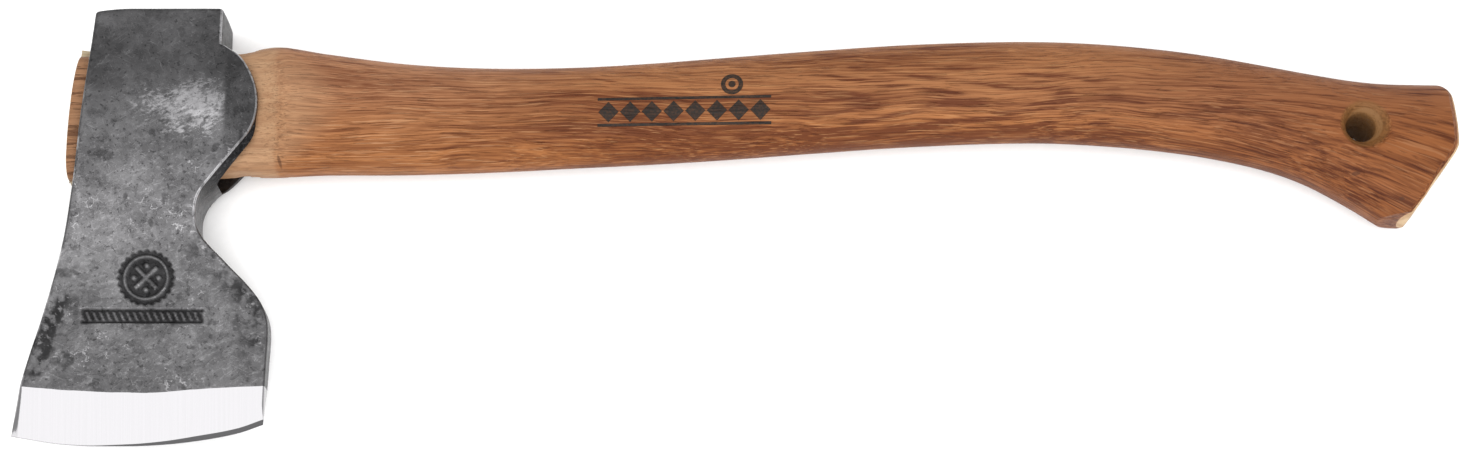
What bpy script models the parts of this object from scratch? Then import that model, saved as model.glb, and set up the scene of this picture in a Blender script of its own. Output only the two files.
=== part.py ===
"""Carpenter's hatchet: forged steel head on a curved hickory handle, held by a wooden and a steel wedge.

The drawing is made in millimetres about the middle of the eye:
x runs along the handle towards the knob, y towards the poll, z through the thickness, and z = 0 is
the middle of the blade. The finished hatchet lies on its side, on the floor at z = 0.
"""

import math

import bmesh
import bpy
from mathutils import Vector

MM = 0.001
GAP = 0.3                     # clearance between pieces that touch on the real hatchet

# Head. Outlines are (y, x) pairs, read through a smooth curve.
POLL_Y = 38.8                 # striking face of the poll
POLL_BACK_X = 23.2            # flat back of the poll
POLL_CHAMFER = 1.2
POLL_FRONT_CHAMFER = 6.0      # the front corner of the poll is worn round
RIM_CHAMFER = 1.0             # broken edge all round the cheeks
LUG_TOP_Y = 25.2              # where the lugs spring from the poll
EDGE_HALF = 0.15              # half thickness left at the cutting edge
HEAD_FRONT = [(38.8, -22.6), (0.0, -25.9), (-30.0, -28.7), (-75.0, -37.7), (-117.0, -47.6)]
HEAD_BACK = [(25.0, 24.0), (20.3, 30.4), (11.6, 35.4), (2.6, 37.0), (-6.5, 35.0), (-15.4, 28.6),
             (-23.3, 22.2), (-29.6, 17.8), (-36.0, 16.2), (-44.0, 17.8), (-54.4, 27.2),
             (-63.3, 35.5), (-70.0, 40.3), (-77.0, 42.5), (-90.0, 42.4), (-112.4, 41.5)]
HEAD_HALF_THICKNESS = [(38.8, 13.5), (25.0, 13.9), (12.0, 15.1), (6.5, 15.6), (-2.5, 15.6),
                       (-8.0, 15.2), (-18.0, 13.9), (-26.0, 12.6), (-32.0, 11.6), (-38.0, 9.9), (-44.5, 8.0),
                       (-52.0, 7.0), (-62.0, 6.2), (-81.0, 5.2), (-102.0, 4.4)]
LUG_TAPER = 2.4               # how much thinner the lugs are at their rim
LUG_START_X = 25.0
LUG_RIM_X = 37.0
# Straight stations down the head, then the curved top of the bevel and the curved edge, as (x, y).
HEAD_STATIONS = [37.6, 31.0, 25.2, 24.4, 22.5, 19.5, 15.5, 11.0, 6.5, -2.5, -7.0, -11.5, -16.0,
                 -20.0, -24.0, -28.0, -32.0, -36.0, -40.0, -44.0, -48.0, -52.0, -56.0, -60.0,
                 -64.0, -68.0, -72.0, -77.0, -83.0, -90.0, -96.0]
BEVEL_TOP = [(-44.5, -99.3), (-25.0, -100.9), (0.0, -101.6), (20.0, -100.2), (42.2, -99.2)]
EDGE_LINE = [(-47.6, -116.7), (-30.0, -119.4), (-13.0, -120.2), (5.0, -119.7), (20.0, -118.0),
             (33.0, -115.4), (41.5, -112.4)]
CHEEK_COLUMNS = [0.0, 0.17, 0.34, 0.5, 0.66, 0.78, 0.89, 1.0]

# Eye: a rounded slot along x, slightly wider at the front, where the wedges spread the handle.
EYE_TOP = (27.4, 27.7)        # front and back
EYE_BOTTOM = (-25.6, -26.6)
EYE_HALF_WIDTH = (11.1, 10.8)
EYE_FRONT_X = -60.0
EYE_BACK_X = 60.0
EYE_POWER = 4.0               # superellipse power of the slot
EYE_POINTS = 48

# Handle: (x, top, bottom) outline, (x, half thickness) and (x, superellipse power).
HANDLE_OUTLINE = [(-40.0, 22.9, -24.1), (26.0, 24.5, -20.5), (42.0, 27.5, -20.7), (60.0, 25.0, -19.9),
                  (90.0, 21.2, -19.8), (120.0, 19.6, -18.9), (150.0, 19.9, -17.4),
                  (180.0, 21.7, -15.9), (210.0, 24.2, -13.9), (240.0, 26.6, -11.5),
                  (270.0, 28.6, -9.5), (300.0, 29.7, -8.1), (320.0, 29.8, -7.9),
                  (340.0, 29.0, -8.8), (360.0, 27.2, -10.6), (380.0, 24.4, -13.5),
                  (400.0, 20.6, -18.0), (415.0, 17.5, -23.5), (430.0, 14.8, -31.9),
                  (442.0, 13.5, -39.8), (456.0, 13.1, -48.4), (480.0, 13.0, -62.0)]
HANDLE_HALF_THICKNESS = [(-40.0, 10.6), (24.0, 10.1), (37.5, 10.3), (48.0, 13.1), (70.0, 13.3),
                         (120.0, 12.6), (200.0, 12.2), (300.0, 12.2), (370.0, 12.4),
                         (410.0, 13.4), (440.0, 14.4), (480.0, 14.6)]
HANDLE_POWER = [(-40.0, 5.0), (8.0, 5.0), (37.5, 3.2), (52.0, 2.5), (120.0, 2.3), (380.0, 2.3),
                (430.0, 2.6), (480.0, 2.5)]
HANDLE_STATIONS = [-40.0, -14.0, 8.0, 24.0, 31.0, 37.5, 42.0, 47.0, 56.0, 70.0, 90.0, 110.0, 130.0, 150.0,
                   170.0, 190.0, 210.0, 230.0, 250.0, 270.0, 290.0, 305.0, 320.0, 335.0, 350.0,
                   365.0, 380.0, 392.0, 404.0, 415.0, 425.0, 435.0, 446.0, 460.0, 480.0]
SECTION_POINTS = 32
TONGUE_END = ((-29.3, 21.0), (-31.8, -22.0))          # slanted end of the handle, proud of the eye
KNOB_CUTS = [((468.3, -13.2), (467.5, 4.0)),          # end face
             ((467.5, 4.0), (465.8, 8.6)),            # rounded top corner, in two cuts
             ((465.8, 8.6), (461.4, 12.6)),
             ((449.7, -37.9), (468.3, -13.2)),        # long lower facet
             ((440.0, -38.8), (449.7, -37.9))]        # tip facet
KNOB_EDGE_BEVEL = 2.2
CUT_MERGE = 0.02              # points nearer than this to a flat cut are taken as on it
FLAT_CUT_MAX_Z = 0.01         # flat cuts of the knob face squarely across z
SIDE_QUAD_CORNERS = 4         # faces of the rounded sides have no more corners than this

# Hanging hole through the knob, countersunk from both cheeks.
HOLE_CENTRE = (433.4, -5.4)
HOLE_RADIUS = 5.6
SINK_START_Z = 10.6
SINK_END_Z = 17.0
SINK_END_RADIUS = 12.0
HOLE_SIDES = 32

# Wooden wedge, driven along x into the kerf in the tongue.
WEDGE_FRONT_X = -29.2         # at its top; the end slants with the handle's
WEDGE_FRONT_SLANT = 1.8
WEDGE_TIP_X = 4.0
WEDGE_FRONT_HALF = 2.4
WEDGE_TIP_HALF = 0.7
WEDGE_TOP = (26.4, 23.0)      # at the front and at the tip
WEDGE_BOTTOM = (-23.6, -22.0)
KERF_TIP_X = 5.0
KERF_HALF_HEIGHT = 40.0       # the saw cut runs right through the tongue
CUTTER_OVERRUN = 20.0         # how far cutters start outside the wood

# Steel ring wedge, driven across the wooden wedge and the tongue.
RING_CENTRE_Y = -0.5
RING_OUTER_RADIUS = 7.0
RING_INNER_RADIUS = 5.5
RING_FRONT_X = -30.9
RING_BACK_X = -13.0
RING_SIDES = 32

COLOURS = {
    "axe_head": ((0.19, 0.19, 0.20), 0.45, 1.0),
    "handle": ((0.31, 0.13, 0.05), 0.55, 0.0),
    "wooden_wedge": ((0.55, 0.36, 0.18), 0.7, 0.0),
    "ring_wedge": ((0.35, 0.35, 0.36), 0.4, 1.0),
}


def smooth_value(points, t):
    """Value at t of a smooth curve through (t, value) points, which may run up or down in t."""
    points = sorted(points)
    t = min(max(t, points[0][0]), points[-1][0])
    index = 0
    while index < len(points) - 2 and t > points[index + 1][0]:
        index += 1

    def slope(k):
        before = points[max(k - 1, 0)]
        after = points[min(k + 1, len(points) - 1)]
        return (after[1] - before[1]) / (after[0] - before[0])

    (t0, v0), (t1, v1) = points[index], points[index + 1]
    span = t1 - t0
    s = (t - t0) / span
    return ((2 * s ** 3 - 3 * s ** 2 + 1) * v0 + (s ** 3 - 2 * s ** 2 + s) * span * slope(index)
            + (-2 * s ** 3 + 3 * s ** 2) * v1 + (s ** 3 - s ** 2) * span * slope(index + 1))


def superellipse(centre, half_y, half_z, power, count):
    """Points (y, z) round a superellipse, starting at the top."""
    ring = []
    for k in range(count):
        angle = 2 * math.pi * k / count
        c, s = math.cos(angle), math.sin(angle)
        y = math.copysign(abs(c) ** (2 / power), c) * half_y
        z = math.copysign(abs(s) ** (2 / power), s) * half_z
        ring.append((centre + y, z))
    return ring


def between(pair, t):
    return pair[0] + (pair[1] - pair[0]) * t


def add_ring(bm, points):
    return [bm.verts.new(Vector(p) * MM) for p in points]


def bridge(bm, first, second):
    count = len(first)
    for k in range(count):
        n = (k + 1) % count
        bm.faces.new((first[k], first[n], second[n], second[k]))


def loft(bm, rings):
    """Closed body through rings of points, with flat caps on the first and the last."""
    loops = [add_ring(bm, ring) for ring in rings]
    for first, second in zip(loops, loops[1:]):
        bridge(bm, first, second)
    bm.faces.new(reversed(loops[0]))
    bm.faces.new(loops[-1])
    bmesh.ops.recalc_face_normals(bm, faces=bm.faces)


def new_object(name, bm, root, sharp_degrees=35):
    mesh = bpy.data.meshes.new(name)
    bm.to_mesh(mesh)
    bm.free()
    mesh.shade_smooth()
    mesh.set_sharp_from_angle(angle=math.radians(sharp_degrees))
    obj = bpy.data.objects.new(name, mesh)
    bpy.context.scene.collection.objects.link(obj)
    obj.parent = root
    return obj


def new_cutter(name, bm, root):
    obj = new_object(name, bm, root)
    obj.hide_render = True
    obj.display_type = "WIRE"
    return obj


def cut(obj, cutter):
    modifier = obj.modifiers.new("cut_" + cutter.name, "BOOLEAN")
    modifier.operation = "DIFFERENCE"
    modifier.solver = "EXACT"
    modifier.object = cutter


def set_material(obj, name):
    colour, roughness, metallic = COLOURS[name]
    material = bpy.data.materials.new(name)
    material.use_nodes = True
    shader = material.node_tree.nodes["Principled BSDF"]
    shader.inputs["Base Color"].default_value = (*colour, 1.0)
    shader.inputs["Roughness"].default_value = roughness
    shader.inputs["Metallic"].default_value = metallic
    obj.data.materials.append(material)


def head_back_x(y):
    return POLL_BACK_X if y >= LUG_TOP_Y else smooth_value(HEAD_BACK, y)


def cheek_half(x, y):
    """Half thickness of the head, thinner towards the rim of the lugs."""
    lug = min(max((x - LUG_START_X) / (LUG_RIM_X - LUG_START_X), 0.0), 1.0)
    beside_eye = max(0.0, 1.0 - abs(y / LUG_TOP_Y) ** 2) if y > -LUG_TOP_Y else 0.0
    return smooth_value(HEAD_HALF_THICKNESS, y) - LUG_TAPER * lug * beside_eye


def head_ring(front, back, y_at, half_at, chamfer):
    """Section of the head: near cheek front to back, then far cheek back to front."""
    near = []
    for u in CHEEK_COLUMNS:
        x = front + chamfer + (back - front - 2 * chamfer) * u
        near.append((x, y_at(x), half_at(x, y_at(x))))
    front_side = (front, y_at(front), near[0][2] - chamfer)
    back_side = (back, y_at(back), near[-1][2] - chamfer)
    near = [front_side] + near + [back_side]
    far = [(x, y, -z) for x, y, z in reversed(near)]
    return near + far


def make_head(root):
    rings = []
    top = HEAD_STATIONS[0]
    front, back = smooth_value(HEAD_FRONT, top), head_back_x(top)
    rings.append(head_ring(front + POLL_FRONT_CHAMFER, back - POLL_CHAMFER, lambda x: POLL_Y,
                           lambda x, y: cheek_half(x, y) - POLL_CHAMFER, RIM_CHAMFER))
    for y in HEAD_STATIONS:
        rings.append(head_ring(smooth_value(HEAD_FRONT, y), head_back_x(y), lambda x, y=y: y,
                               cheek_half, RIM_CHAMFER))
    rings.append(head_ring(BEVEL_TOP[0][0], BEVEL_TOP[-1][0], lambda x: smooth_value(BEVEL_TOP, x),
                           cheek_half, RIM_CHAMFER))
    rings.append(head_ring(EDGE_LINE[0][0], EDGE_LINE[-1][0], lambda x: smooth_value(EDGE_LINE, x),
                           lambda x, y: EDGE_HALF, EDGE_HALF / 3))
    bm = bmesh.new()
    loft(bm, rings)
    head = new_object("axe_head", bm, root)
    set_material(head, "axe_head")

    eye = bmesh.new()
    sections = []
    for t, x in ((0.0, EYE_FRONT_X), (1.0, EYE_BACK_X)):
        top_y, bottom_y = between(EYE_TOP, t), between(EYE_BOTTOM, t)
        ring = superellipse((top_y + bottom_y) / 2, (top_y - bottom_y) / 2,
                            between(EYE_HALF_WIDTH, t), EYE_POWER, EYE_POINTS)
        sections.append([(x, y, z) for y, z in ring])
    loft(eye, sections)
    cut(head, new_cutter("eye_cutter", eye, root))
    return head


def handle_ring(x):
    top = smooth_value([(p[0], p[1]) for p in HANDLE_OUTLINE], x)
    bottom = smooth_value([(p[0], p[2]) for p in HANDLE_OUTLINE], x)
    ring = superellipse((top + bottom) / 2, (top - bottom) / 2,
                        smooth_value(HANDLE_HALF_THICKNESS, x), smooth_value(HANDLE_POWER, x),
                        SECTION_POINTS)
    return [(x, y, z) for y, z in ring]


def trim(bm, start, end):
    """Cut flat along the line from start to end, keep its left side, and close the cut."""
    along = Vector((end[0] - start[0], end[1] - start[1], 0.0)).normalized()
    outward = Vector((along.y, -along.x, 0.0))
    geometry = bm.verts[:] + bm.edges[:] + bm.faces[:]
    result = bmesh.ops.bisect_plane(bm, geom=geometry, dist=CUT_MERGE * MM,
                                    plane_co=Vector((*start, 0.0)) * MM, plane_no=outward,
                                    clear_outer=True)
    rim = [item for item in result["geom_cut"] if isinstance(item, bmesh.types.BMEdge)]
    bmesh.ops.contextual_create(bm, geom=rim)
    bmesh.ops.recalc_face_normals(bm, faces=bm.faces)


def soften_knob(bm):
    """Bevel the edges between the flat cuts of the knob and its rounded sides."""
    def is_flat_cut(face):
        crosswise = abs(face.normal.z) < FLAT_CUT_MAX_Z and len(face.verts) > SIDE_QUAD_CORNERS
        return crosswise and face.calc_center_median().x > 0.0

    edges = [edge for edge in bm.edges
             if len(edge.link_faces) == 2 and sum(is_flat_cut(face) for face in edge.link_faces) == 1]
    bmesh.ops.bevel(bm, geom=edges, offset=KNOB_EDGE_BEVEL * MM, segments=1, affect="EDGES",
                    clamp_overlap=True)


def wedge_section(x, half, top, bottom, slant=0.0):
    return [(x, top, half), (x - slant, bottom, half), (x - slant, bottom, -half), (x, top, -half)]


def make_wedge(root):
    bm = bmesh.new()
    loft(bm, [wedge_section(WEDGE_FRONT_X, WEDGE_FRONT_HALF, WEDGE_TOP[0], WEDGE_BOTTOM[0],
                            WEDGE_FRONT_SLANT),
              wedge_section(WEDGE_TIP_X, WEDGE_TIP_HALF, WEDGE_TOP[1], WEDGE_BOTTOM[1])])
    wedge = new_object("wooden_wedge", bm, root)
    set_material(wedge, "wooden_wedge")
    return wedge


def kerf_cutter(root):
    """Tapered saw cut in the tongue, a little larger than the wedge all round."""
    slope = (WEDGE_FRONT_HALF - WEDGE_TIP_HALF) / (WEDGE_TIP_X - WEDGE_FRONT_X)
    sections = []
    for x in (WEDGE_FRONT_X - CUTTER_OVERRUN, KERF_TIP_X):
        half = WEDGE_TIP_HALF + slope * (WEDGE_TIP_X - x) + GAP
        sections.append(wedge_section(x, half, KERF_HALF_HEIGHT, -KERF_HALF_HEIGHT))
    bm = bmesh.new()
    loft(bm, sections)
    return new_cutter("kerf_cutter", bm, root)


def tube(bm, x_front, x_back, inner, outer):
    """Thick tube along x about the ring wedge's axis."""
    loops = []
    for x, radius in ((x_front, outer), (x_back, outer), (x_back, inner), (x_front, inner)):
        points = superellipse(RING_CENTRE_Y, radius, radius, 2.0, RING_SIDES)
        loops.append(add_ring(bm, [(x, y, z) for y, z in points]))
    for k in range(4):
        bridge(bm, loops[k], loops[(k + 1) % 4])
    bmesh.ops.recalc_face_normals(bm, faces=bm.faces)


def make_ring(root):
    bm = bmesh.new()
    tube(bm, RING_FRONT_X, RING_BACK_X, RING_INNER_RADIUS, RING_OUTER_RADIUS)
    ring = new_object("ring_wedge", bm, root)
    set_material(ring, "ring_wedge")
    return ring


def ring_groove_cutter(root):
    bm = bmesh.new()
    tube(bm, RING_FRONT_X - CUTTER_OVERRUN, RING_BACK_X + GAP, RING_INNER_RADIUS - GAP,
         RING_OUTER_RADIUS + GAP)
    return new_cutter("ring_groove_cutter", bm, root)


def hole_cutter(root):
    bm = bmesh.new()
    profile = ((-SINK_END_Z, SINK_END_RADIUS), (-SINK_START_Z, HOLE_RADIUS),
               (SINK_START_Z, HOLE_RADIUS), (SINK_END_Z, SINK_END_RADIUS))
    rings = []
    for z, radius in profile:
        ring = []
        for k in range(HOLE_SIDES):
            angle = 2 * math.pi * k / HOLE_SIDES
            x = HOLE_CENTRE[0] + radius * math.cos(angle)
            y = HOLE_CENTRE[1] + radius * math.sin(angle)
            ring.append((x, y, z))
        rings.append(ring)
    loft(bm, rings)
    return new_cutter("hanging_hole_cutter", bm, root)


def make_handle(root, groove):
    bm = bmesh.new()
    loft(bm, [handle_ring(x) for x in HANDLE_STATIONS])
    trim(bm, TONGUE_END[0], TONGUE_END[1])
    for start, end in KNOB_CUTS:
        trim(bm, start, end)
    soften_knob(bm)
    handle = new_object("handle", bm, root)
    set_material(handle, "handle")
    cut(handle, hole_cutter(root))
    cut(handle, kerf_cutter(root))
    cut(handle, groove)
    return handle


def lie_on_floor(root, pieces):
    """Move the hatchet so that the origin is at the bottom centre of its box."""
    bpy.context.view_layer.update()
    corners = [obj.matrix_world @ Vector(corner) for obj in pieces for corner in obj.bound_box]
    low = Vector([min(c[k] for c in corners) for k in range(3)])
    high = Vector([max(c[k] for c in corners) for k in range(3)])
    root.location = (-(low.x + high.x) / 2, -(low.y + high.y) / 2, -low.z)
    bpy.context.view_layer.update()


def build():
    for obj in list(bpy.data.objects):
        bpy.data.objects.remove(obj, do_unlink=True)
    root = bpy.data.objects.new("hatchet", None)
    bpy.context.scene.collection.objects.link(root)
    groove = ring_groove_cutter(root)
    head = make_head(root)
    handle = make_handle(root, groove)
    wedge = make_wedge(root)
    cut(wedge, groove)
    ring = make_ring(root)
    lie_on_floor(root, (head, handle, wedge, ring))


build()
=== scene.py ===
"""Looks of the carpenter's hatchet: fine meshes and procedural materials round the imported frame.

Shapes are drawn in millimetres about the middle of the eye, as in the CAD: x along the handle,
y towards the poll, z through the thickness. ORIGIN carries them into the row frame.
"""

import math

import bmesh
import bpy
import numpy as np
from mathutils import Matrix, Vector


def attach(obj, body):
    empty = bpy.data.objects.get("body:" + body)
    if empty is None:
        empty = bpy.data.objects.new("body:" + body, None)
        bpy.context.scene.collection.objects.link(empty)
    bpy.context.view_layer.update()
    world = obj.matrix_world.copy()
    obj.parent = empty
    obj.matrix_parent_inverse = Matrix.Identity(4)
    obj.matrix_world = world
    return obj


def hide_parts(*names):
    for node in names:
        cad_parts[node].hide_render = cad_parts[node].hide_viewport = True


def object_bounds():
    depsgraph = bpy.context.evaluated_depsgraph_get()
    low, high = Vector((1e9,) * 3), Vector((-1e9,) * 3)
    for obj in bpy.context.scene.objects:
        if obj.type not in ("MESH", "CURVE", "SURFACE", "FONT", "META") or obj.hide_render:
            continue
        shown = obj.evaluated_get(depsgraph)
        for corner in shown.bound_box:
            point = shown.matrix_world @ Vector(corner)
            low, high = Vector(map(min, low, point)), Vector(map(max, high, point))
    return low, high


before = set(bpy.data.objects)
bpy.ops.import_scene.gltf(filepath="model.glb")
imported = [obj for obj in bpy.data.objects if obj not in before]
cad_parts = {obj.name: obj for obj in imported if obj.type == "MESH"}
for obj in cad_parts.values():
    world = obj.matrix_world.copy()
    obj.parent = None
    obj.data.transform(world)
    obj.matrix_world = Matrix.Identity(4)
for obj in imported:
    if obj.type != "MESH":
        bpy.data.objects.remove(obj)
CAD_LOW, CAD_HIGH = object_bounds()

MM = 0.001
BODY = "root"

# ---- driving dimensions, millimetres

TOE_X = -47.6
POLL_Y = 38.8
ORIGIN = Vector((CAD_LOW.x / MM - TOE_X, CAD_HIGH.y / MM - POLL_Y, (CAD_LOW.z + CAD_HIGH.z) / 2 / MM))

POLL_BACK_X = 23.2
LUG_TOP_Y = 25.2
RIM_RADIUS = 0.9
EDGE_HALF = 0.06
HEAD_FRONT = [(38.8, -22.6), (0.0, -25.9), (-30.0, -28.7), (-55.0, -33.3), (-75.0, -38.1), (-88.0, -41.8),
              (-100.0, -44.8), (-110.0, -46.6), (-117.0, -47.55)]
HEAD_BACK = [(25.0, 24.0), (20.3, 30.4), (11.6, 35.4), (2.6, 37.0), (-6.5, 35.0), (-15.4, 28.6),
             (-23.3, 22.2), (-29.6, 17.4), (-36.0, 15.7), (-44.0, 17.3), (-54.4, 26.8),
             (-63.3, 35.5), (-70.0, 40.3), (-77.0, 42.5), (-90.0, 42.4), (-112.4, 41.5)]
HEAD_HALF_THICKNESS = [(38.8, 13.5), (25.0, 13.9), (12.0, 15.1), (6.5, 15.5), (-2.5, 15.5),
                       (-8.0, 15.2), (-18.0, 13.9), (-26.0, 12.6), (-32.0, 11.5), (-38.0, 9.6),
                       (-44.5, 7.6), (-52.0, 6.7), (-62.0, 6.0), (-81.0, 5.2), (-102.0, 4.4)]
LUG_TAPER = 2.4
LUG_START_X = 25.0
LUG_RIM_X = 37.0
BEVEL_TOP = [(-44.5, -99.3), (-25.0, -100.9), (0.0, -101.6), (20.0, -100.2), (42.2, -99.2)]
BEVEL_TOP_MEAN = -100.6
EDGE_LINE = [(-47.6, -116.7), (-30.0, -119.4), (-13.0, -120.2), (5.0, -119.7), (20.0, -118.0),
             (33.0, -115.4), (41.5, -112.4)]
EDGE_LOWEST = CAD_LOW.y / MM - ORIGIN.y + 0.02   # keeps the edge inside the CAD box
HEEL_FACET = [(-48.0, 0.12), (-27.0, 0.12), (-15.8, 0.30), (-4.2, 0.75), (7.6, 1.25), (19.2, 1.75),
              (30.7, 1.75), (42.0, 1.85)]        # height of the honed facet above the edge
HEEL_SLOPE = 0.42               # half thickness gained for each millimetre up the honed facet
HEEL_SHARE = 0.90               # share down the bevel's rows where that facet starts
TOE_WIDTH = (0.9, 1.5)          # width of the toe's facet at the bevel's top, and its gain to the edge
EYE_TOP = 27.5
EYE_BOTTOM = -26.1
EYE_HALF_WIDTH = 10.95
EYE_POWER = 4.0
EYE_RIM = 0.7                   # chamfer round the mouths of the eye
EYE_OPEN_HALF = 3.0             # the eye counts as open where its half width is past this
STAMP_CENTRE = (-1.4, -60.0)
STAMP_RADIUS = 9.9
BAR_CENTRE = (-2.2, -74.0)
BAR_HALF = (21.6, 2.5)
STAMP_DEPTH = 0.55

HANDLE_OUTLINE = [(-40.0, 22.9, -24.1), (26.0, 24.5, -20.5), (42.0, 27.5, -20.7), (60.0, 25.0, -19.9),
                  (90.0, 21.2, -19.8), (120.0, 19.6, -18.9), (150.0, 19.9, -17.4),
                  (180.0, 21.7, -15.9), (210.0, 24.2, -13.9), (240.0, 26.6, -11.5),
                  (270.0, 28.6, -9.5), (300.0, 29.7, -8.1), (320.0, 29.8, -7.9),
                  (340.0, 29.0, -8.8), (360.0, 27.2, -10.6), (380.0, 24.4, -13.5),
                  (400.0, 20.6, -18.0), (415.0, 17.5, -23.5), (430.0, 14.8, -31.9),
                  (442.0, 13.5, -39.8), (456.0, 13.1, -48.4), (480.0, 13.0, -62.0)]
HANDLE_HALF_THICKNESS = [(-40.0, 10.6), (24.0, 10.1), (37.5, 10.3), (48.0, 13.1), (70.0, 13.3),
                         (120.0, 12.6), (200.0, 12.2), (300.0, 12.2), (370.0, 12.4),
                         (410.0, 13.4), (440.0, 14.4), (480.0, 14.6)]
HANDLE_POWER = [(-40.0, 5.0), (8.0, 5.0), (37.5, 3.2), (52.0, 2.5), (120.0, 2.3), (380.0, 2.3),
                (430.0, 2.6), (480.0, 2.5)]
TONGUE_END = [(-25.0, -31.1), (-17.0, -31.5), (-8.0, -31.4), (3.5, -31.0), (11.0, -30.3), (16.0, -29.7),
              (21.0, -29.0), (24.0, -28.6)]
KNOB_END = [(-38.85, 439.0), (-38.7, 441.5), (-37.9, 449.9), (-32.1, 454.6), (-24.4, 459.8), (-18.1, 464.6),
            (-15.0, 466.9), (-12.2, 468.1), (-9.4, 468.25), (-5.0, 468.25), (-0.6, 468.0), (3.4, 467.8),
            (7.4, 467.4), (10.4, 466.2), (12.0, 464.4), (12.9, 462.4)]
KNOB_CHAMFER = [(-38.8, 1.2), (-30.0, 1.5), (-12.0, 2.1), (4.0, 2.1), (10.0, 1.3), (13.0, 0.8)]
TONGUE_CHAMFER = 0.4

HOLE_CENTRE = (433.4, -5.4)
HOLE_RADIUS = 5.4
FAR_RADIUS = 4.6
FAR_SHIFT = (-1.1, -1.1)        # the two drillings don't quite line up
SINK_START_Z = 10.6
FAR_SINK_START_Z = 12.4
SINK_END_Z = 17.0
SINK_END_RADIUS = 12.0
SINK_SHIFT = (1.3, 0.6)         # the countersink stands a little off the drilled hole

WEDGE_FRONT_X = -29.2
WEDGE_FRONT_SLANT = 1.8
WEDGE_TIP_X = 4.0
WEDGE_FRONT_HALF = 2.4
WEDGE_TIP_HALF = 0.7
WEDGE_TOP = (26.4, 23.0)
WEDGE_BOTTOM = (-23.6, -22.0)
KERF_TIP_X = 5.0
KERF_HALF_HEIGHT = 40.0
RING_CENTRE_Y = -0.5
RING_OUTER_RADIUS = 7.0
RING_INNER_RADIUS = 5.5
RING_FRONT_X = -30.9
RING_BACK_X = -13.0
GAP = 0.3
CUTTER_OVERRUN = 20.0           # how far cutters start outside the wood

ORNAMENT_CENTRE = (190.4, 0.4)

# ---- camera, light and floor

VIEW_TILT = 15.5                # degrees off the square-on side view, towards the cutting edge
VIEW_DISTANCE = 1.25
VIEW_CENTRE = (-0.0007, -0.0003)
LENS = 84.8
FLOOR_SIDE = 12.0


def add_camera():
    data = bpy.data.cameras.new("camera")
    data.sensor_width = 36.0
    data.lens = LENS
    camera = bpy.data.objects.new("camera", data)
    bpy.context.scene.collection.objects.link(camera)
    tilt = math.radians(VIEW_TILT)
    target = Vector((VIEW_CENTRE[0], VIEW_CENTRE[1], (CAD_LOW.z + CAD_HIGH.z) / 2))
    back = Vector((0.0, -math.sin(tilt), math.cos(tilt)))
    camera.location = target + back * VIEW_DISTANCE
    camera.rotation_euler = (tilt, 0.0, 0.0)
    bpy.context.scene.camera = camera


def add_area(name, location, size, watts, target=(0.0, 0.0, 0.0)):
    data = bpy.data.lights.new(name, "AREA")
    data.shape = "RECTANGLE"
    data.size, data.size_y = size
    data.energy = watts
    light = bpy.data.objects.new(name, data)
    bpy.context.scene.collection.objects.link(light)
    light.location = location
    light.rotation_euler = (Vector(target) - Vector(location)).to_track_quat("-Z", "Y").to_euler()
    light.visible_camera = False


def add_studio():
    scene = bpy.context.scene
    scene.view_settings.view_transform = "Standard"
    world = bpy.data.worlds.new("studio")
    world.use_nodes = True
    background = world.node_tree.nodes["Background"]
    background.inputs["Color"].default_value = (1.0, 1.0, 1.0, 1.0)
    background.inputs["Strength"].default_value = 0.96
    scene.world = world
    add_area("overhead", (-0.1, -0.60, 2.2), (3.0, 2.3), 56.5, target=(-0.1, -0.60, 0.0))
    add_area("front_fill", (0.0, -1.7, 0.75), (2.4, 0.9), 17.0)

    mesh = bpy.data.meshes.new("floor")
    corners = [(x * FLOOR_SIDE, y * FLOOR_SIDE, 0.0) for x, y in ((-1, -1), (1, -1), (1, 1), (-1, 1))]
    mesh.from_pydata(corners, [], [(0, 1, 2, 3)])
    floor = bpy.data.objects.new("floor", mesh)
    scene.collection.objects.link(floor)
    floor.location.z = CAD_LOW.z - 0.0002
    material, graph, shader = new_material("floor")
    paper = graph.noise(graph.position(), 300.0, detail=3.0)
    shade = graph.remap(paper, 0.3, 0.7, 0.94, 0.96)
    graph.link(graph.grey(shade), shader.inputs["Base Color"])
    shader.inputs["Roughness"].default_value = 0.9
    shader.inputs["Specular IOR Level"].default_value = 0.1
    mesh.materials.append(material)


# ---- shader graph helpers


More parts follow.
